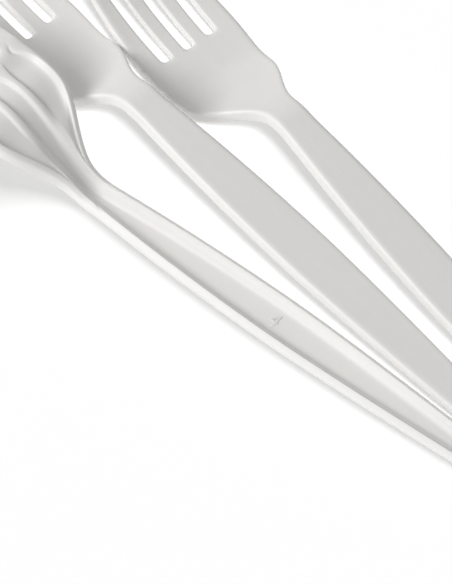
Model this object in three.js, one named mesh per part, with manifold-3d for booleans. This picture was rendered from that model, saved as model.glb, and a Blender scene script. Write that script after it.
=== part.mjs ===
// Three loose moulded plastic forks, fanned out and overlapping as they were laid down:
// one upside down with its channel open upwards, two face up beside it.
// Millimetres, +Z up. The fan stands on z = 0 with the middle of its box at x = y = 0.
import * as THREE from "three";
import { mergeVertices } from "three/addons/utils/BufferGeometryUtils.js";
import Module from "manifold-3d";

// Lengths of one fork, counted from its neck: the handle runs to +x, the head to -x.
const HANDLE_LENGTH = 104;
const HEAD_LENGTH = 60;

// Widths of the outline, and how far from the neck each one is reached.
const NECK_WIDTH = 6.7;
const GRIP_WIDTH = 9.85;
const GRIP_AT = 42;
const HANDLE_END_WIDTH = 3.8;
const HANDLE_TAPER = 1.4;
const SHOULDER_WIDTH = 19.9;
const SHOULDER_FROM = 5.7;
const SHOULDER_TO = 19.8;
const HEAD_WIDTH = 21.9;
const HEAD_WIDEST_AT = 34;
const HEAD_TAPER = 1.1;
const TIP_WIDTH = 18.4;
const TIP_RADIUS = 1.3;

// Side profile: the face is level on the handle, drops into the bowl and lifts at the tips.
const BOWL_DROP = 13;
const BOWL_FROM = 2.4;
const BOWL_TO = 24.6;
const BOWL_DISH = 0.5;
const TINE_LIFT = 8;
const TINE_LIFT_FROM = 34;

// The channel section: how deep its walls reach, its skin, its rim and their rounding.
const DEPTH_AT_NECK = 3.2;
const DEPTH_AT_HANDLE_END = 2.1;
const DEPTH_AT_TINE_ROOTS = 2.4;
const DEPTH_AT_TIPS = 1.4;
const SKIN = 1.1;
const RIM = 1.35;
const RIM_BROADENS_FROM = 21;
const RIM_CHAMFER = 0.25;
const WALL_DRAFT = 0.12;
const FLANK = 0.9;
const EDGE_RADIUS = 0.9;
const MOST_ROUNDED = 0.6;

// Two ribs under the bowl carry the handle's walls on into the inner tines.
const RIB_HEIGHT = 1.1;
const RIB_SINKS_FROM = 8;
const RIB_SINKS_TO = 18;

// Four tines with three slots between them.
const TINE_ROOT = 31.5;
const INNER_TINE_WIDTH = 3;
const MIDDLE_SLOT_AT_ROOT = 2.3;
const MIDDLE_SLOT_AT_TIP = 2.7;
const SIDE_SLOT_AT_ROOT = 2.4;
const SIDE_SLOT_AT_TIP = 2.8;

// How the three lie: the turned fork's neck on the table, how far up each of the other two has
// its neck, and how far each handle is turned. The gaps between them follow from these.
const TURNED_FORK = { x: -22.9, y: 17.4, turn: -36.4 };
const MIDDLE_FORK = { y: 32.7, turn: -42.7 };
const RIGHT_FORK = { y: 29.9, turn: -48.3 };
const CLEARANCE = 0.25;
const STEEPEST_LIFT = 12;
const HALVINGS = 12;

// How finely the surface is divided, and where points are taken across the flat of the face.
const HANDLE_STEP = 8;
const HEAD_STEP = 2;
const TINE_STEP = 4;
const END_STEPS = 4;
const CORNER_STEPS = 3;
const SMALLEST_STEP = 0.02;
const ACROSS_FLAT = [0, 0.4, 0.75];

const { clamp, degToRad, lerp, smoothstep } = THREE.MathUtils;

const wasm = await Module();
wasm.setup();

// Half the outline's width at x: the neck, the grip, the shoulder's flare, the bowl, the tips.
function halfWidth(x) {
  if (x >= 0) {
    const swell = 1 - (1 - Math.min(1, x / GRIP_AT)) ** 2;
    const taper = (Math.max(0, x - GRIP_AT) / (HANDLE_LENGTH - GRIP_AT)) ** HANDLE_TAPER;
    const full = lerp(lerp(NECK_WIDTH, GRIP_WIDTH, swell), HANDLE_END_WIDTH, taper);
    return roundedIn(full / 2, HANDLE_LENGTH - x, HANDLE_END_WIDTH / 2);
  }
  const flare = smoothstep(-x, SHOULDER_FROM, SHOULDER_TO);
  const bowl = smoothstep(-x, (SHOULDER_FROM + SHOULDER_TO) / 2, HEAD_WIDEST_AT);
  const tips = Math.max(0, -x - HEAD_WIDEST_AT) / (HEAD_LENGTH - HEAD_WIDEST_AT);
  const head = lerp(HEAD_WIDTH, TIP_WIDTH, tips ** HEAD_TAPER);
  const full = lerp(NECK_WIDTH, SHOULDER_WIDTH, flare) + (head - SHOULDER_WIDTH) * bowl;
  return roundedIn(full / 2, HEAD_LENGTH + x, TIP_RADIUS);
}

// Draws a half width in over the last radius before an end, along a quarter circle.
function roundedIn(half, toEnd, radius) {
  if (toEnd >= radius) return half;
  return half - radius + Math.sqrt(Math.max(0, radius ** 2 - (radius - toEnd) ** 2));
}

// Height of the face's edges above the handle's flat face.
function spine(x) {
  const lift = Math.max(0, -x - TINE_LIFT_FROM) / (HEAD_LENGTH - TINE_LIFT_FROM);
  return TINE_LIFT * lift ** 2 - BOWL_DROP * smoothstep(-x, BOWL_FROM, BOWL_TO);
}

// How much taller a thickness stands where the face slopes.
function slant(x) {
  const slope = spine(x + HEAD_STEP / 2) - spine(x - HEAD_STEP / 2);
  return Math.hypot(1, slope / HEAD_STEP);
}

// Height of the face at (x, y): flat on the handle, dished across the bowl.
function face(x, y) {
  const dish = BOWL_DISH * smoothstep(-x, SHOULDER_FROM, BOWL_TO);
  const across = Math.min(1, Math.abs(y) / halfWidth(x));
  return spine(x) - dish * (1 - across ** 2);
}

// The face with its rounded edges.
function roof(x, y) {
  const half = halfWidth(x);
  const radius = edgeRadius(x);
  const toEnd = Math.min(HANDLE_LENGTH - x, HEAD_LENGTH + x);
  const drops = radius - roundedIn(radius, toEnd, radius);
  const past = Math.min(1, Math.max(0, y - half + radius) / radius);
  return face(x, y) - drops - radius * (1 - Math.sqrt(1 - past ** 2));
}

function edgeRadius(x) {
  return Math.min(EDGE_RADIUS, halfWidth(x) * MOST_ROUNDED, wallDepth(x) / 2);
}

// Depth of the outer wall below the face's edges.
function wallDepth(x) {
  if (x >= 0) return lerp(DEPTH_AT_NECK, DEPTH_AT_HANDLE_END, x / HANDLE_LENGTH);
  const head = smoothstep(-x, SHOULDER_FROM, TINE_ROOT);
  const tips = Math.max(0, tineShare(x));
  return lerp(lerp(DEPTH_AT_NECK, DEPTH_AT_TINE_ROOTS, head), DEPTH_AT_TIPS, tips);
}

// Height of the rim's foot, the lowest line of the section at x.
function foot(x) {
  return spine(x) - wallDepth(x) * slant(x);
}

// How far x is along the tines: 0 at the slot roots, 1 at the tips.
function tineShare(x) {
  return (-x - TINE_ROOT) / (HEAD_LENGTH - TINE_ROOT);
}

// The slots' edges at x, counted from the middle line.
function slotEdges(x) {
  const middle = lerp(MIDDLE_SLOT_AT_ROOT, MIDDLE_SLOT_AT_TIP, tineShare(x)) / 2;
  const sideFrom = middle + INNER_TINE_WIDTH;
  const sideTo = sideFrom + lerp(SIDE_SLOT_AT_ROOT, SIDE_SLOT_AT_TIP, tineShare(x));
  return { middle, sideFrom, sideTo };
}

// Width of the rim's foot. It broadens into the whole outer tine at the slot roots.
function rimWidth(x) {
  const tine = halfWidth(-TINE_ROOT) - slotEdges(-TINE_ROOT).sideTo + FLANK;
  return lerp(RIM, tine, smoothstep(-x, RIM_BROADENS_FROM, TINE_ROOT + HEAD_STEP));
}

// A rib's middle line, half width and height. On the handle it is inside the wall.
function rib(x) {
  const { middle, sideFrom } = slotEdges(-TINE_ROOT);
  const ahead = smoothstep(-x, RIM_BROADENS_FROM, TINE_ROOT + HEAD_STEP);
  const atNeck = (NECK_WIDTH - RIM) / 2;
  const wall = wallDepth(x) - SKIN;
  const sunk = lerp(wall, RIB_HEIGHT, smoothstep(-x, RIB_SINKS_FROM, RIB_SINKS_TO));
  return {
    y: x >= 0 ? halfWidth(x) - RIM / 2 : lerp(atNeck, (middle + sideFrom) / 2, ahead),
    half: lerp(RIM / 2, INNER_TINE_WIDTH / 2 + FLANK, ahead),
    height: Math.min(wall, lerp(sunk, wall, ahead)),
  };
}

// Height of the underside at (x, y): the channel's floor, a rib or the rim.
function underside(x, y) {
  const { y: ribY, half, height } = rib(x);
  const closed = smoothstep(x, HANDLE_LENGTH - RIM - FLANK, HANDLE_LENGTH - RIM);
  const inRim = smoothstep(y, halfWidth(x) - rimWidth(x) - FLANK, halfWidth(x) - rimWidth(x));
  const inRib = 1 - smoothstep(Math.abs(y - ribY), half, half + FLANK);
  const floor = face(x, y) - SKIN * slant(x);
  const ribbed = Math.max(foot(x), floor - height * slant(x) * inRib);
  return Math.min(lerp(floor, foot(x), Math.max(inRim, closed)), ribbed);
}

// Half of the closed section at x, from the middle of the face round to the middle below.
function halfSection(x) {
  const half = halfWidth(x);
  const flat = half - edgeRadius(x);
  const across = ACROSS_FLAT.map((share) => share * flat);
  for (let i = 0; i <= CORNER_STEPS; i++) {
    across.push(flat + edgeRadius(x) * Math.sin((i / CORNER_STEPS) * (Math.PI / 2)));
  }
  const outline = across.map((y) => [y, roof(x, y)]);
  const outermost = half + WALL_DRAFT - RIM_CHAMFER;
  outline.push([half + WALL_DRAFT, foot(x) + RIM_CHAMFER], [outermost, foot(x)]);
  for (const y of pointsBelow(x, outermost)) outline.push([y, underside(x, y)]);
  return outline;
}

// Where points are taken across the underside: on the flanks of the rim and of the rib, from
// the outside in, each one a little nearer to the middle line than the one before.
function pointsBelow(x, outermost) {
  const { y: ribY, half: ribHalf } = rib(x);
  const inside = halfWidth(x) - rimWidth(x);
  const wanted = [];
  for (let i = 0; i <= CORNER_STEPS; i++) {
    const down = (i / CORNER_STEPS) * FLANK;
    wanted.push(inside - down, ribY + ribHalf + down, ribY - ribHalf - down);
  }
  wanted.sort((a, b) => b - a);
  const kept = wanted.map((y, i) => Math.max(y, (wanted.length - i) * SMALLEST_STEP));
  for (let i = 0, limit = outermost; i < kept.length; i++) {
    limit = Math.min(kept[i], limit - SMALLEST_STEP);
    kept[i] = limit;
  }
  return [...kept, 0];
}

// The places along x where a section is taken, from the handle's end to the tips.
function stations() {
  const list = [];
  const round = (radius, i) => radius * (1 - Math.cos(((i + 0.5) / END_STEPS) * (Math.PI / 2)));
  for (let i = 0; i < END_STEPS; i++) list.push(HANDLE_LENGTH - round(HANDLE_END_WIDTH / 2, i));
  list.push(HANDLE_LENGTH - RIM - FLANK / 2, HANDLE_LENGTH - RIM - FLANK);
  const from = HANDLE_LENGTH - RIM - FLANK - HANDLE_STEP / 2;
  const handleSteps = Math.round(from / HANDLE_STEP);
  for (let i = 0; i <= handleSteps; i++) list.push(lerp(from, 0, i / handleSteps));
  const headSteps = Math.round(TINE_LIFT_FROM / HEAD_STEP);
  for (let i = 1; i <= headSteps; i++) list.push(lerp(0, -TINE_LIFT_FROM, i / headSteps));
  const to = TIP_RADIUS - HEAD_LENGTH;
  const tineSteps = Math.round((-to - TINE_LIFT_FROM) / TINE_STEP);
  for (let i = 1; i <= tineSteps; i++) list.push(lerp(-TINE_LIFT_FROM, to, i / tineSteps));
  for (let i = END_STEPS - 1; i >= 0; i--) list.push(round(TIP_RADIUS, i) - HEAD_LENGTH);
  return list.sort((a, b) => b - a);
}

// The blank before its slots are cut: sections joined by strips and closed at both ends.
function blank() {
  const positions = [];
  const faces = [];
  let around = 0;
  const places = stations();
  for (const x of places) {
    const half = halfSection(x);
    const mirrored = half.slice(1, -1).reverse();
    const ring = [...half, ...mirrored.map(([y, z]) => [-y, z])];
    around = ring.length;
    for (const [y, z] of ring) positions.push(x, y, z);
  }
  for (let s = 0; s + 1 < places.length; s++) {
    for (let i = 0; i < around; i++) {
      const a = s * around + i;
      const b = s * around + ((i + 1) % around);
      faces.push(a, b, a + around, b, b + around, a + around);
    }
  }
  const cap = (first, flipped) => {
    const ring = [];
    for (let i = first; i < first + around; i++) {
      ring.push(new THREE.Vector2(positions[3 * i + 1], positions[3 * i + 2]));
    }
    for (const [a, b, c] of THREE.ShapeUtils.triangulateShape(ring, [])) {
      faces.push(first + a, first + (flipped ? c : b), first + (flipped ? b : c));
    }
  };
  cap(0, false);
  cap((places.length - 1) * around, true);
  const geometry = new THREE.BufferGeometry();
  geometry.setAttribute("position", new THREE.Float32BufferAttribute(positions, 3));
  geometry.setIndex(faces);
  return geometry;
}

// One slot seen from above: a round root, widening sides, and rounded corners at the tips.
function slotCutter(fromRoot, toRoot, fromTip, toTip) {
  const shape = new THREE.Shape();
  const root = -TINE_ROOT;
  const tip = -HEAD_LENGTH;
  const beyond = tip - TIP_RADIUS;
  const radius = (toRoot - fromRoot) / 2;
  shape.moveTo(beyond, fromTip - TIP_RADIUS);
  shape.lineTo(tip, fromTip - TIP_RADIUS);
  shape.quadraticCurveTo(tip, fromTip, tip + TIP_RADIUS, fromTip);
  shape.lineTo(root - radius, fromRoot);
  shape.absarc(root - radius, (fromRoot + toRoot) / 2, radius, -Math.PI / 2, Math.PI / 2, false);
  shape.lineTo(tip + TIP_RADIUS, toTip);
  shape.quadraticCurveTo(tip, toTip, tip, toTip + TIP_RADIUS);
  shape.lineTo(beyond, toTip + TIP_RADIUS);
  const tall = BOWL_DROP + TINE_LIFT + DEPTH_AT_NECK;
  const options = { depth: 2 * tall, bevelEnabled: false, curveSegments: 2 * CORNER_STEPS };
  return new THREE.ExtrudeGeometry(shape, options).translate(0, 0, -tall);
}

function toSolid(geometry) {
  geometry.deleteAttribute("normal");
  geometry.deleteAttribute("uv");
  const merged = mergeVertices(geometry, 1e-3);
  const vertProperties = merged.attributes.position.array;
  const triVerts = new Uint32Array(merged.index.array);
  return new wasm.Manifold(new wasm.Mesh({ numProp: 3, vertProperties, triVerts }));
}

function toGeometry(solid) {
  const mesh = solid.getMesh();
  const geometry = new THREE.BufferGeometry();
  geometry.setAttribute("position", new THREE.BufferAttribute(mesh.vertProperties, 3));
  geometry.setIndex(new THREE.BufferAttribute(mesh.triVerts, 1));
  geometry.computeVertexNormals();
  return geometry;
}

function forkGeometry() {
  const root = slotEdges(-TINE_ROOT);
  const tip = slotEdges(-HEAD_LENGTH);
  const slots = [
    slotCutter(-root.middle, root.middle, -tip.middle, tip.middle),
    slotCutter(root.sideFrom, root.sideTo, tip.sideFrom, tip.sideTo),
    slotCutter(-root.sideTo, -root.sideFrom, -tip.sideTo, -tip.sideFrom),
  ];
  return toGeometry(slots.reduce((fork, slot) => fork.subtract(toSolid(slot)), toSolid(blank())));
}

const plastic = new THREE.MeshStandardMaterial({ color: 0xeeebe6, roughness: 0.35, metalness: 0 });

// A fork on the table, turned about the end of its handle. Its pitch lifts the neck.
function layFork(name, geometry, { x = TURNED_FORK.x, y, turn }, upsideDown) {
  const mesh = new THREE.Mesh(geometry, plastic);
  mesh.name = name;
  mesh.position.set(-HANDLE_LENGTH, 0, upsideDown ? 0 : DEPTH_AT_HANDLE_END);
  mesh.rotation.x = upsideDown ? Math.PI : 0;
  const pitch = new THREE.Group().add(mesh);
  const place = new THREE.Group().add(pitch);
  const angle = degToRad(turn);
  place.position.set(x + HANDLE_LENGTH * Math.cos(angle), y + HANDLE_LENGTH * Math.sin(angle), 0);
  place.rotation.z = angle;
  place.updateMatrixWorld(true);
  return { place, pitch, mesh, upsideDown };
}

// Each vertex of one fork, in its own coordinates and in those of another.
function verticesSeenFrom(fork, other) {
  fork.place.updateMatrixWorld(true);
  const position = fork.mesh.geometry.attributes.position;
  const found = [];
  for (let i = 0; i < position.count; i++) {
    const own = new THREE.Vector3().fromBufferAttribute(position, i);
    const seen = own.clone().applyMatrix4(fork.mesh.matrixWorld);
    found.push({ own, seen: other ? other.mesh.worldToLocal(seen) : seen });
  }
  return found;
}

// Whether a place on a fork's own plan is on the fork, or within a margin of it.
function covers({ x, y }, margin) {
  const inLength = x > -HEAD_LENGTH - margin && x < HANDLE_LENGTH + margin;
  return inLength && Math.abs(y) < halfWidth(clamp(x, -HEAD_LENGTH, HANDLE_LENGTH)) + margin;
}

// Lays a face-up fork down until its bowl comes to the table with its handle's end.
function rest(fork) {
  const end = fork.place.position;
  const lifts = verticesSeenFrom(fork).map(({ seen }) => {
    const away = Math.hypot(seen.x - end.x, seen.y - end.y);
    return away > HANDLE_LENGTH ? Math.atan2(-seen.z, away) : 0;
  });
  fork.pitch.rotation.y += Math.max(...lifts);
}

// The smallest of the values from low to high at which a fork is clear, found by halving.
function leastClear(low, high, isClear) {
  for (let i = 0; i < HALVINGS; i++) {
    const middle = (low + high) / 2;
    if (isClear(middle)) high = middle;
    else low = middle;
  }
  return high;
}

// Slides a fork to the right until it lies beside its neighbour, or only its handle does.
function slideBeside(fork, neighbour, handlesOnly) {
  const meets = (one, other) =>
    verticesSeenFrom(one, other).some(({ own, seen }) => {
      const counts = !handlesOnly || Math.min(own.x, seen.x) > 0;
      return counts && covers(seen, CLEARANCE + WALL_DRAFT);
    });
  const from = fork.place.position.x;
  const slide = (x) => {
    fork.place.position.x = x;
    return !meets(fork, neighbour) && !meets(neighbour, fork);
  };
  slide(leastClear(from, from + HANDLE_LENGTH, slide));
}

// Lifts an upside-down fork's neck until it clears the face-up forks that it crosses.
function liftOver(fork, below) {
  const lift = (pitch) => {
    fork.pitch.rotation.y = pitch;
    return below.every((other) => crossingGap(fork, other) >= CLEARANCE);
  };
  if (!lift(0)) lift(leastClear(0, degToRad(STEEPEST_LIFT), lift));
}

// The smallest upright gap between an upside-down fork and a face-up one that it crosses.
function crossingGap(upper, lower) {
  const gaps = [Infinity];
  for (const [one, other] of [[upper, lower], [lower, upper]]) {
    for (const { seen } of verticesSeenFrom(one, other)) {
      if (covers(seen, 0)) gaps.push(seen.z - roof(seen.x, Math.abs(seen.y)));
    }
  }
  return Math.min(...gaps);
}

const fork = forkGeometry();
const right = layFork("fork_right", fork, RIGHT_FORK, false);
const middle = layFork("fork_middle", fork, MIDDLE_FORK, false);
const turned = layFork("fork_upside_down", fork, TURNED_FORK, true);
rest(middle);
slideBeside(middle, turned, true);
rest(right);
slideBeside(right, middle, false);
liftOver(turned, [right, middle]);

const pack = new THREE.Group().add(right.place, middle.place, turned.place);
const box = new THREE.Box3().setFromObject(pack, true);
const centre = box.getCenter(new THREE.Vector3());
pack.position.set(-centre.x, -centre.y, -box.min.z);

export default pack;
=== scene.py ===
# Three loose moulded forks laid out in a fan: one upside down in front, two face up beside it.
# Places are in metres in the object's own frame, and the forks' sizes are in millimetres.
import math

import bmesh
import bpy
from mathutils import Matrix, Vector


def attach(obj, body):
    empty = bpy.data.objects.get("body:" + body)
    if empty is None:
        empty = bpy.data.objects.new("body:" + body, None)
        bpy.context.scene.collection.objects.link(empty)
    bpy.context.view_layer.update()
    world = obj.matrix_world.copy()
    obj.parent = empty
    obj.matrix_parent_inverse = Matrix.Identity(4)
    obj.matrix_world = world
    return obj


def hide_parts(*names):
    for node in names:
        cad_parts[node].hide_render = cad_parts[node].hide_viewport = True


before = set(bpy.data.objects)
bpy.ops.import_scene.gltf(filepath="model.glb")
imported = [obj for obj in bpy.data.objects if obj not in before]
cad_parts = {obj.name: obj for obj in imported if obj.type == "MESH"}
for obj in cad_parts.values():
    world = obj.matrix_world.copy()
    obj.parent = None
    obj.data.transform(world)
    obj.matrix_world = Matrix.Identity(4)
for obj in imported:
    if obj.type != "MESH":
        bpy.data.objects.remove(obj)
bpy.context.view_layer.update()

# The camera looks down on the fan from the front, far off, as for a catalogue picture.
# It is turned a little about its own axis, as the picture is.
MM = 0.001
AIM = Vector((-2.86, -15.86, 0.0)) * MM
DISTANCE = 900 * MM
ELEVATION = math.radians(56.53)
ROLL = math.radians(-2.98)
LENS = 387.1
SENSOR = 36

bpy.ops.object.select_all(action="DESELECT")
backward = Vector((0, -math.cos(ELEVATION), math.sin(ELEVATION)))
level = Vector((1, 0, 0))
rising = Vector((0, math.sin(ELEVATION), math.cos(ELEVATION)))
across = level * math.cos(ROLL) - rising * math.sin(ROLL)
upward = level * math.sin(ROLL) + rising * math.cos(ROLL)
bpy.ops.object.camera_add()
camera = bpy.context.object
camera.name = "catalogue_camera"
camera.data.sensor_fit = "HORIZONTAL"
camera.data.sensor_width = SENSOR
camera.data.lens = LENS
camera.data.clip_start = 50 * MM
camera.data.clip_end = 20
turned = Matrix((across, upward, backward)).transposed().to_4x4()
camera.matrix_world = Matrix.Translation(AIM + backward * DISTANCE) @ turned
bpy.context.scene.camera = camera
bpy.context.scene.view_settings.view_transform = "Standard"

# The fork is one injection moulding in off-white compostable plastic, about 164 mm long.
# Its handle is a shallow channel. At the neck the channel's walls part: an inner pair of ribs
# runs over the back of the bowl into the inner tines, and the outer rims into the outer tines.
HANDLE = 104.0
HEAD = 60.0
NECK_WIDTH = 6.7
GRIP_WIDTH = 9.85
GRIP_AT = 42.0
END_WIDTH = 3.8
END_FLAT = 0.15
HANDLE_TAPER = 1.4
SHOULDER_WIDTH = 19.9
SHOULDER = (5.7, 19.8)
HEAD_WIDTH = 21.9
WIDEST_AT = 34.0
TIP_WIDTH = 18.4
HEAD_TAPER = 1.1
DROP = 13.0
BOWL = (2.4, 24.6)
DISH = 0.5
LIFT = 8.0
DEPTH_AT_NECK = 3.2
DEPTH_AT_END = 2.1
DEPTH_AT_ROOTS = 2.4
DEPTH_AT_TIPS = 1.4
SKIN = 1.1
DRAFT = 0.12
RIM = 1.2
RIM_BROADENS = (25.5, 33.5)
CROWN = 0.5
CROWN_CURVE = 1.3
CREST_LEAN = 0.3
FLANK = 0.7
WALL_FLANK = 1.5
FLANK_SHARE = 0.7
FLANK_NARROWS = (6, 24)
RIB_HEIGHT = 1.35
RIB_SINKS = (8, 18)
RIB_CREST = 0.45
RIB_NARROWS = (0, 12)
RIB_PINCH = (0, 14)
GROOVE_OPENS = (2.0, 7.0)
SLOT_ROOT = 31.5
INNER_TINE = 3.0
MIDDLE_SLOT = (2.3, 2.7)
SIDE_SLOT = (2.4, 2.8)


def mix(a, b, share):
    return a + (b - a) * share


def ease(x, low, high):
    share = min(1.0, max(0.0, (x - low) / (high - low)))
    return share * share * (3 - 2 * share)


def half_width(x):
    if x >= 0:
        swell = 1 - (1 - min(1.0, x / GRIP_AT)) ** 2
        taper = (max(0.0, x - GRIP_AT) / (HANDLE - GRIP_AT)) ** HANDLE_TAPER
        half = mix(mix(NECK_WIDTH, GRIP_WIDTH, swell), END_WIDTH, taper) / 2
        radius = END_WIDTH / 2
        short = max(0.0, radius - (HANDLE - x) - END_FLAT)
        return half - radius + math.sqrt(radius**2 - short**2)
    flare = ease(-x, *SHOULDER)
    bowl = ease(-x, sum(SHOULDER) / 2, WIDEST_AT)
    tips = (max(0.0, -x - WIDEST_AT) / (HEAD - WIDEST_AT)) ** HEAD_TAPER
    head = mix(HEAD_WIDTH, TIP_WIDTH, tips)
    return (mix(NECK_WIDTH, SHOULDER_WIDTH, flare) + (head - SHOULDER_WIDTH) * bowl) / 2


def spine(x):
    lift = max(0.0, -x - WIDEST_AT) / (HEAD - WIDEST_AT)
    return LIFT * lift**2 - DROP * ease(-x, *BOWL)


def slant(x):
    return math.hypot(1, spine(x + 1) / 2 - spine(x - 1) / 2)


def face(x, y):
    dish = DISH * ease(-x, SHOULDER[0], BOWL[1])
    return spine(x) - dish * (1 - min(1.0, abs(y) / half_width(x)) ** 2)


def along_tines(x):
    return (-x - SLOT_ROOT) / (HEAD - SLOT_ROOT)


def wall_depth(x):
    if x >= 0:
        return mix(DEPTH_AT_NECK, DEPTH_AT_END, x / HANDLE)
    head = mix(DEPTH_AT_NECK, DEPTH_AT_ROOTS, ease(-x, SHOULDER[0], SLOT_ROOT))
    return mix(head, DEPTH_AT_TIPS, max(0.0, along_tines(x)))


def foot(x):
    return spine(x) - wall_depth(x) * slant(x)


def slot_edges(x):
    share = along_tines(x)
    middle = mix(*MIDDLE_SLOT, share) / 2
    side = middle + INNER_TINE
    return middle, side, side + mix(*SIDE_SLOT, share)


def rim_width(x):
    tine = half_width(-SLOT_ROOT) - slot_edges(-SLOT_ROOT)[2] + FLANK
    splay = (half_width(x - 1) - half_width(x + 1)) / 2 if x < 0 else 0
    return mix(RIM * math.hypot(1, splay), tine, ease(-x, *RIM_BROADENS))


def flank(x):
    wide = min(WALL_FLANK, FLANK_SHARE * (half_width(x) - rim_width(x)))
    return mix(wide, FLANK, ease(-x, *FLANK_NARROWS))


def falls_off(inward, outward, width, lean):
    fall = max(1 - inward / (width * lean), 1 - outward / (width * (1 - lean)))
    return min(1.0, max(0.0, fall)) ** CROWN_CURVE


def rib(x):
    middle, side, _ = slot_edges(-SLOT_ROOT)
    ahead = ease(-x, *RIM_BROADENS)
    wall = wall_depth(x) - SKIN
    sunk = mix(wall, RIB_HEIGHT, ease(-x, *RIB_SINKS))
    at_neck = (NECK_WIDTH - RIM) / 2
    place = half_width(x) - RIM / 2
    if x < 0:
        pinch = x * (GRIP_WIDTH - NECK_WIDTH) / GRIP_AT * (1 - ease(-x, *RIB_PINCH))
        place = mix(at_neck + pinch, (middle + side) / 2, ahead)
    narrow = mix(RIM / 2, RIB_CREST, ease(-x, *RIB_NARROWS))
    return place, mix(narrow, INNER_TINE / 2 + FLANK, ahead), min(wall, mix(sunk, wall, ahead))


def underside(x, y):
    place, half, height = rib(x)
    closed = ease(x, HANDLE - RIM - FLANK, HANDLE - RIM)
    edge = half_width(x) - rim_width(x)
    in_rim = ease(y, edge - flank(x), edge)
    in_rib = 1 - ease(abs(y - place), half, half + flank(x))
    lean = mix(CREST_LEAN, 0.5, ease(-x, *RIB_NARROWS))
    over_rib = falls_off(y - place + half, place + half - y, 2 * half, lean)
    rounded = CROWN * (1 - ease(-x, *RIM_BROADENS)) * over_rib
    floor = face(x, y) - SKIN * slant(x)
    if x < 0 and y > place:
        floor -= height * slant(x) * (1 - ease(edge - place - half, *GROOVE_OPENS))
    ridge = face(x, y) - (SKIN + (height - rounded) * in_rib) * slant(x)
    over_rim = falls_off(y - edge, half_width(x) - y, RIM, CREST_LEAN)
    crest = foot(x) + CROWN * slant(x) * over_rim * (1 - closed)
    return min(mix(floor, crest, max(in_rim, closed)), max(foot(x), ridge))


# The mesh has a row of points at each of these places along the fork, and 16 lines on each half
# of it. On the tines the lines follow the slots' edges, and on the bowl the ribs and the rims.
ROWS = [104, 103.5, 102.6, 101.2, 98.5, 94, 88, 81, 74, 67, 60, 53, 46, 40, 34, 28]
ROWS += [22.5, 17.5, 13, 9.5, 6.5, 4, 2]
ROWS += [0.4 - 1.45 * i for i in range(22)]
ROWS += [-SLOT_ROOT, -33, -35.5, -39, -43, -47.5, -52, -56, -58.4, -59.4, -60]
HALF_LINES = 16
TINE_LINES = 5
FLANK_LINES = 3
SIDE_SLOT_LINE = 8
OUTSIDE_RIB = range(6, 10)
INSIDE_RIM = range(10, 14)
LINES_TURN = (8, SLOT_ROOT - 2)
SOFT_EDGE = 1.5
TINE_EDGE = 0.7
CREST_START = 0.35
STEP_INWARD = 0.07
STEP_OUTWARD = 0.05


def spread(a, b, count):
    return [mix(a, b, i / count) for i in range(count)]


def lines_above(x):
    half = half_width(x)
    inside = half - SOFT_EDGE
    handle = spread(0, inside, HALF_LINES - 1) + [inside]
    middle, side, outer = slot_edges(min(x, -SLOT_ROOT))
    tines = [0, middle] + spread(middle + TINE_EDGE, side - TINE_EDGE, TINE_LINES)
    tines += [side - TINE_EDGE, side, outer]
    tines += spread(outer + TINE_EDGE, inside, TINE_LINES) + [inside]
    share = ease(-x, *LINES_TURN)
    return [mix(a, b, share) for a, b in zip(handle, tines)] + [half]


def keep_apart(lines):
    rib_foot = lines[OUTSIDE_RIB[-1]]
    rim_foot = lines[INSIDE_RIM[1]]
    if rib_foot > rim_foot:
        meet = (rib_foot + rim_foot) / 2
        for i in OUTSIDE_RIB:
            lines[i] = min(lines[i], meet)
        for i in INSIDE_RIM:
            lines[i] = max(lines[i], meet)
    for i in range(HALF_LINES - 1, 0, -1):
        lines[i] = min(lines[i], lines[i + 1] - STEP_INWARD)
    for i in range(1, HALF_LINES):
        lines[i] = max(lines[i], lines[i - 1] + STEP_OUTWARD)
    return lines


def lines_below(x):
    half = half_width(x)
    if x <= -SLOT_ROOT:
        return lines_above(x)[: HALF_LINES - 1] + [half - TINE_EDGE, half + DRAFT]
    place, rib_half, _ = rib(x)
    edge = half - rim_width(x)
    soft = flank(x)
    if x >= 0:
        lines = [0, (edge - soft) / 2] + spread(edge - soft, edge, FLANK_LINES) + [edge]
        lines += spread(edge + CREST_START, half, HALF_LINES - FLANK_LINES - 3)
    else:
        inner = place - rib_half
        outer = place + rib_half
        lines = [0, (inner - soft) / 2] + spread(inner - soft, inner, FLANK_LINES) + [inner]
        lines += spread(outer, outer + soft, FLANK_LINES) + [outer + soft, (outer + edge) / 2]
        lines += [edge - soft, edge - soft / 2, edge]
        lines += [edge + CREST_LEAN * RIM, half - CREST_LEAN * RIM]
    return keep_apart(lines + [half + DRAFT])


# The four tines come from cutting three slots out of a flat sheet, which is then pushed down
# twice into a plate with walls all round.
LAYER = 0.1

bpy.ops.mesh.primitive_grid_add(x_subdivisions=len(ROWS) - 1, y_subdivisions=2 * HALF_LINES, size=1)
fork = bpy.context.object
fork.name = "fork_pattern"
bpy.ops.object.mode_set(mode="EDIT")
mesh = bmesh.from_edit_mesh(fork.data)


def row_at(x):
    return (0.5 - x) * (len(ROWS) - 1)


def pick(chosen):
    bpy.ops.mesh.select_all(action="DESELECT")
    for part in chosen:
        part.select_set(True)


in_slots = []
for cell in mesh.faces:
    centre = cell.calc_center_median()
    line = abs(centre.y) * 2 * HALF_LINES
    in_slot = line < 1 or SIDE_SLOT_LINE < line < SIDE_SLOT_LINE + 1
    if in_slot and row_at(centre.x) > ROWS.index(-SLOT_ROOT):
        in_slots.append(cell)
pick(in_slots)
bpy.ops.mesh.select_mode(type="FACE")
bpy.ops.mesh.delete(type="FACE")
bpy.ops.mesh.select_all(action="SELECT")
for _ in range(2):
    bpy.ops.mesh.extrude_region_move(TRANSFORM_OT_translate={"value": (0, 0, -LAYER)})
bpy.ops.mesh.select_mode(type="VERT")

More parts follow.
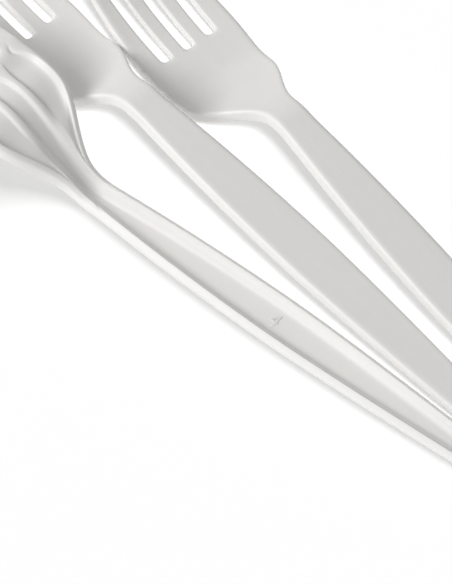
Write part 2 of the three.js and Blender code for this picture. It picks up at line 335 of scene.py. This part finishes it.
# Each row is set at its place, each line of it spread to its distance from the middle, and its
# upper, middle and lower points moved to the face, the wall and the underside. The last rows
# draw in to the tines' rounded tips.
TIP_ROUNDING = (0.55, 0.87)

mesh = bmesh.from_edit_mesh(fork.data)
points = {}
for point in mesh.verts:
    line = round(abs(point.co.y) * 2 * HALF_LINES)
    key = (round(row_at(point.co.x)), line, round(-point.co.z / LAYER))
    points.setdefault(key, []).append(point)
for (row, line, layer), pair in sorted(points.items()):
    x = ROWS[row]
    above = lines_above(x)[line]
    below = lines_below(x)[line]
    top = face(x, above)
    bottom = underside(x, below) if x > -SLOT_ROOT else foot(x)
    out = (above, mix(above, below, 0.5), below)[layer]
    up = (top, mix(top, bottom, 0.5), bottom)[layer]
    rows_to_tip = len(ROWS) - 1 - row
    if rows_to_tip < len(TIP_ROUNDING):
        middle, side, outer = slot_edges(x)
        centre = (middle + side) / 2 if line <= SIDE_SLOT_LINE else (outer + half_width(x)) / 2
        out = centre + (out - centre) * TIP_ROUNDING[rows_to_tip]
    here = pair[0].co
    pick(pair)
    wider = out * MM / abs(here.y) if line else 1.0
    move = (x * MM - here.x, 0, up * MM - here.z)
    bpy.ops.transform.resize(value=(1, wider, 1), center_override=(0, 0, 0))
    bpy.ops.transform.translate(value=move)
bpy.ops.mesh.select_all(action="SELECT")
bpy.ops.mesh.normals_make_consistent(inside=False)
bpy.ops.object.mode_set(mode="OBJECT")

# The face and the underside are laid out flat side by side, for the finish that follows the
# fork, and the whole moulding is then rounded.
PLAN = 200 * MM

plan = fork.data.uv_layers.new(name="plan")
for cell in fork.data.polygons:
    under = 1.0 if cell.normal.z < 0 else 0.0
    for corner in cell.loop_indices:
        place = fork.data.vertices[fork.data.loops[corner].vertex_index].co
        plan.data[corner].uv = (place.x / PLAN + under, place.y / PLAN)
rounding = fork.modifiers.new("rounding", "SUBSURF")
rounding.levels = 2
rounding.render_levels = 2
bpy.ops.object.modifier_apply(modifier="rounding")
bpy.ops.object.shade_smooth()

# A plain cavity number stands up a little from the floor of the channel, as the mould left it.
# It is part of the moulding, in the same plastic.
NUMERAL_PLACE = (39, 1.5)
NUMERAL_SIZE = 4.2
NUMERAL_RELIEF = 0.1

bpy.ops.object.select_all(action="DESELECT")
numeral_at = Vector((*NUMERAL_PLACE, -SKIN)) * MM
bpy.ops.object.text_add(location=numeral_at, rotation=(math.pi, 0, 0))
numeral = bpy.context.object
numeral.data.body = "4"
numeral.data.size = NUMERAL_SIZE * MM
numeral.data.offset = -NUMERAL_RELIEF / 2 * MM
numeral.data.bevel_depth = NUMERAL_RELIEF * MM
numeral.data.bevel_resolution = 2
numeral.data.resolution_u = 4
bpy.ops.object.convert(target="MESH")
bpy.ops.object.transform_apply(location=True, rotation=True, scale=True)
fork.select_set(True)
bpy.context.view_layer.objects.active = fork
bpy.ops.object.join()

# The plastic is dense off-white starch plastic with a satin skin from the polished mould.
# Its tone wanders a little along the flow, and the skin has a very fine orange peel.
DARKER = (0.84, 0.83, 0.812, 1)
LIGHTER = (0.88, 0.871, 0.853, 1)

plastic = bpy.data.materials.new("moulded_plastic")
plastic.use_nodes = True
nodes = plastic.node_tree.nodes
links = plastic.node_tree.links
shader = nodes["Principled BSDF"]
shader.inputs["IOR"].default_value = 1.46
shader.inputs["Subsurface Weight"].default_value = 0.12
shader.inputs["Subsurface Scale"].default_value = 1.2 * MM
shader.inputs["Subsurface Radius"].default_value = (1.0, 0.85, 0.7)
plan_node = nodes.new("ShaderNodeUVMap")
plan_node.uv_map = "plan"
flow = nodes.new("ShaderNodeMapping")
flow.inputs["Scale"].default_value = (4, 60, 1)
links.new(plan_node.outputs["UV"], flow.inputs["Vector"])
streaks = nodes.new("ShaderNodeTexNoise")
streaks.inputs["Scale"].default_value = 1.6
streaks.inputs["Detail"].default_value = 3
links.new(flow.outputs["Vector"], streaks.inputs["Vector"])
tone = nodes.new("ShaderNodeMix")
tone.data_type = "RGBA"
tone.inputs["A"].default_value = DARKER
tone.inputs["B"].default_value = LIGHTER
links.new(streaks.outputs["Fac"], tone.inputs["Factor"])
links.new(tone.outputs["Result"], shader.inputs["Base Color"])
gloss = nodes.new("ShaderNodeMapRange")
gloss.inputs["To Min"].default_value = 0.42
gloss.inputs["To Max"].default_value = 0.5
links.new(streaks.outputs["Fac"], gloss.inputs["Value"])
links.new(gloss.outputs["Result"], shader.inputs["Roughness"])
where = nodes.new("ShaderNodeTexCoord")
peel = nodes.new("ShaderNodeTexNoise")
peel.inputs["Scale"].default_value = 900
peel.inputs["Detail"].default_value = 2
links.new(where.outputs["Object"], peel.inputs["Vector"])
skin = nodes.new("ShaderNodeBump")
skin.inputs["Strength"].default_value = 0.04
skin.inputs["Distance"].default_value = 0.2 * MM
links.new(peel.outputs["Fac"], skin.inputs["Height"])

# A faint ring on the face near the neck is where a mould pin pushed the fork out.
# It is a hair's breadth deep, so it is in the skin's relief alone.
PIN_PLACE = (12, -0.8)
PIN_RADIUS = 0.55
PIN_LINE = 0.13

from_pin = nodes.new("ShaderNodeVectorMath")
from_pin.operation = "DISTANCE"
from_pin.inputs[1].default_value = Vector((*PIN_PLACE, 0)) * MM / PLAN
links.new(plan_node.outputs["UV"], from_pin.inputs[0])
band = nodes.new("ShaderNodeMath")
band.operation = "COMPARE"
band.inputs[1].default_value = PIN_RADIUS * MM / PLAN
band.inputs[2].default_value = PIN_LINE * MM / PLAN
links.new(from_pin.outputs["Value"], band.inputs[0])
ring = nodes.new("ShaderNodeBump")
ring.inputs["Strength"].default_value = 0.5
ring.inputs["Distance"].default_value = 0.04 * MM
links.new(band.outputs["Value"], ring.inputs["Height"])
links.new(skin.outputs["Normal"], ring.inputs["Normal"])
links.new(ring.outputs["Normal"], shader.inputs["Normal"])
fork.data.materials.append(plastic)

# The three forks as they lie: the end of each handle on the table, how far the handle is turned,
# and how far the neck is lifted. The front one lies on the flat of its handle.
LAID = {
    "right": ((78.31, -63.605), -48.3, 5.997, False),
    "middle": ((57.40, -53.685), -42.7, 5.997, False),
    "upside_down": ((57.945, -60.17), -36.4, 0.0, True),
}

for side, (end, turn, lift, upside_down) in LAID.items():
    laid = fork.copy()
    laid.data = fork.data.copy()
    laid.name = laid.data.name = "moulded_fork_" + side
    bpy.context.collection.objects.link(laid)
    raise_by = 0.0 if upside_down else DEPTH_AT_END
    over = Matrix.Rotation(math.pi if upside_down else 0.0, 4, "X")
    own = Matrix.Translation(Vector((-HANDLE, 0, raise_by)) * MM) @ over
    pitch = Matrix.Rotation(math.radians(lift), 4, "Y")
    turned = Matrix.Rotation(math.radians(turn), 4, "Z")
    laid.matrix_world = Matrix.Translation(Vector((*end, 0)) * MM) @ turned @ pitch @ own
    bpy.ops.object.select_all(action="DESELECT")
    laid.select_set(True)
    bpy.context.view_layer.objects.active = laid
    bpy.ops.object.transform_apply(location=True, rotation=True, scale=True)
    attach(laid, "root")
    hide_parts("fork_" + side)
bpy.data.objects.remove(fork)

# A matt white table top, a hair under the forks.
# It shows plain white wherever no shadow falls on it.
TABLE_SIZE = 6
TABLE_DROP = 0.02 * MM

bpy.ops.object.select_all(action="DESELECT")
bpy.ops.mesh.primitive_plane_add(size=TABLE_SIZE, location=(0, 0, -TABLE_DROP))
table = bpy.context.object
table.name = "table_top"
paper = bpy.data.materials.new("white_table")
paper.use_nodes = True
surface = paper.node_tree.nodes["Principled BSDF"]
surface.inputs["Base Color"].default_value = (0.6, 0.6, 0.6, 1)
surface.inputs["Roughness"].default_value = 0.9
surface.inputs["Specular IOR Level"].default_value = 0.0
surface.inputs["Emission Color"].default_value = (1, 1, 1, 1)
seen = paper.node_tree.nodes.new("ShaderNodeLightPath")
glow = paper.node_tree.nodes.new("ShaderNodeMath")
glow.operation = "MULTIPLY"
glow.inputs[1].default_value = 0.02
paper.node_tree.links.new(seen.outputs["Is Camera Ray"], glow.inputs[0])
paper.node_tree.links.new(glow.outputs["Value"], surface.inputs["Emission Strength"])
table.data.materials.append(paper)

# Soft studio light: an even white room and a wide panel on the left that lights the forks' near
# walls. Two high lamps light the table alone, and throw the forks' soft shadows on it: the one
# in front those of the two raised forks, and the one behind that of the fork lying flat.
ROOM_LIGHT = 0.37

world = bpy.data.worlds.new("white_room")
bpy.context.scene.world = world
world.use_nodes = True
background = world.node_tree.nodes["Background"]
background.inputs["Color"].default_value = (1, 1, 1, 1)
looked_at = world.node_tree.nodes.new("ShaderNodeLightPath")
room = world.node_tree.nodes.new("ShaderNodeMapRange")
room.inputs["To Min"].default_value = ROOM_LIGHT
room.inputs["To Max"].default_value = 1.0
world.node_tree.links.new(looked_at.outputs["Is Camera Ray"], room.inputs["Value"])
world.node_tree.links.new(room.outputs["Result"], background.inputs["Strength"])


def hang_lamp(kind, name, place, strength, lit, shading):
    bpy.ops.object.light_add(type=kind, location=place)
    lamp = bpy.context.object
    lamp.name = name
    lamp.data.energy = strength
    lamp.rotation_euler = (-Vector(place)).to_track_quat("-Z", "Y").to_euler()
    lamp.light_linking.receiver_collection = bpy.data.collections.new(name + "_lights")
    lamp.light_linking.blocker_collection = bpy.data.collections.new(name + "_is_shaded_by")
    for piece in lit:
        lamp.light_linking.receiver_collection.objects.link(piece)
    for piece in shading:
        lamp.light_linking.blocker_collection.objects.link(piece)
    return lamp.data


forks = [bpy.data.objects["moulded_fork_" + side] for side in LAID]
raised = forks[:2]
flat = forks[2:]
soft_left = hang_lamp("AREA", "soft_left", (-0.87, -0.26, 0.74), 9.5, forks, forks)
soft_left.size = 0.55
high_front = hang_lamp("SUN", "high_front", (0.115, -0.53, 1.0), 2.35, [table], raised)
high_front.angle = math.radians(10)
high_right = hang_lamp("SUN", "high_right", (0.5, 0.1, 1.0), 2.1, [table], flat)
high_right.angle = math.radians(42)
